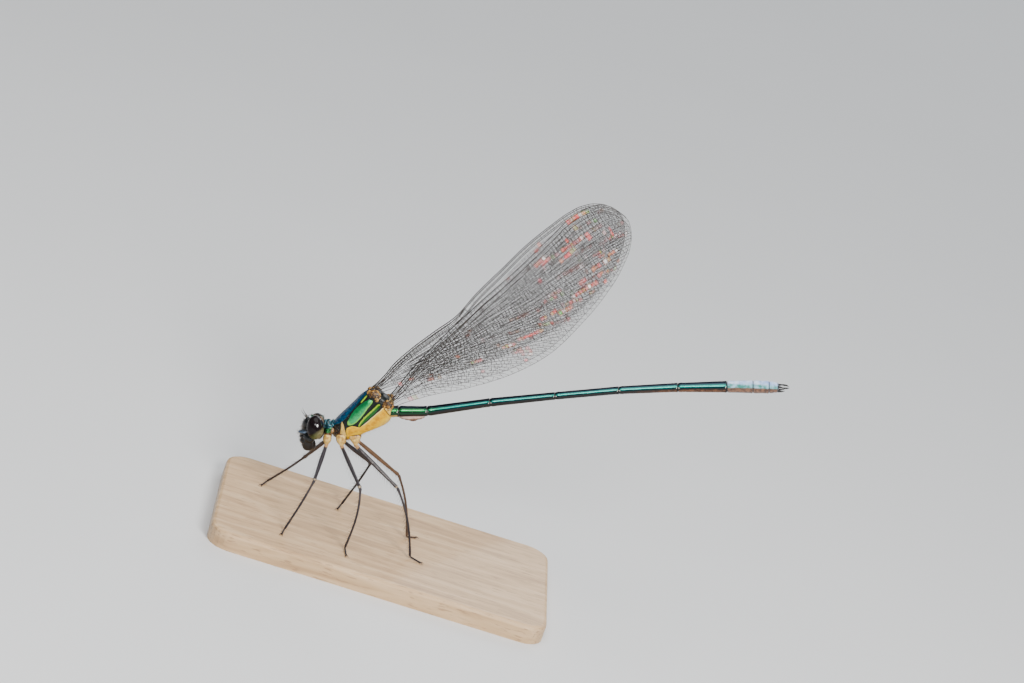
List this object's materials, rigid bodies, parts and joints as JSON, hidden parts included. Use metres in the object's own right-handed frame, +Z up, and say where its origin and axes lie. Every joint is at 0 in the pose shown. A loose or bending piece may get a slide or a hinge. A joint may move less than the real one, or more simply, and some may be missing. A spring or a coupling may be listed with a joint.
{
  "type": "damselfly model",
  "caption": "Life-size damselfly standing with folded clear wings, metallic green-blue body, spiny legs and a small flat base.",
  "frame": {"origin": "centre of the underside of the flat base that the insect stands on", "axes": "+Z up, -X where the insect's head points, +X along the raised abdomen, -Y the insect's left side"},
  "size_m": [0.0639, 0.026, 0.0537],
  "materials": {
    "head": "glossy near-black cuticle with a faint blue-green sheen",
    "eye": "very glossy dark brown over a pale olive lower rim",
    "feeler": "satin black",
    "collar": "metallic blue-green cuticle",
    "thorax": "metallic blue and green bands over golden yellow, with black seams",
    "abdomen": "metallic green-blue above, black below",
    "tail_tip": "matt pale blue-white bloom above, brown below",
    "clasper": "satin black",
    "wing": "clear, faintly smoky membrane with black veins and an iridescent glint",
    "coxa": "pale cream-yellow with brown marks",
    "leg": "satin dark brown-grey with fine spines",
    "base": "satin pale beech"
  },
  "bodies": {
    "root": {"abdomen_1": "abdomen", "abdomen_10": "tail_tip", "abdomen_2": "abdomen", "abdomen_3": "abdomen", "abdomen_4": "abdomen", "abdomen_5": "abdomen", "abdomen_6": "abdomen", "abdomen_7": "abdomen", "abdomen_8": "tail_tip", "abdomen_9": "tail_tip", "antenna_left": "feeler", "antenna_right": "feeler", "cercus_left": "clasper", "cercus_right": "clasper", "coxa_fore_left": "coxa", "coxa_fore_right": "coxa", "coxa_hind_left": "coxa", "coxa_hind_right": "coxa", "coxa_middle_left": "coxa", "coxa_middle_right": "coxa", "eye_left": "eye", "eye_right": "eye", "femur_fore_left": "leg", "femur_fore_right": "leg", "femur_hind_left": "leg", "femur_hind_right": "leg", "femur_middle_left": "leg", "femur_middle_right": "leg", "forewing_left": "wing", "forewing_right": "wing", "head": "head", "hindwing_left": "wing", "hindwing_right": "wing", "paraproct_left": "clasper", "paraproct_right": "clasper", "prothorax": "collar", "stand_base": "base", "tarsus_fore_left": "leg", "tarsus_fore_right": "leg", "tarsus_hind_left": "leg", "tarsus_hind_right": "leg", "tarsus_middle_left": "leg", "tarsus_middle_right": "leg", "thorax": "thorax", "tibia_fore_left": "leg", "tibia_fore_right": "leg", "tibia_hind_left": "leg", "tibia_hind_right": "leg", "tibia_middle_left": "leg", "tibia_middle_right": "leg"}
  },
  "joints": []
}
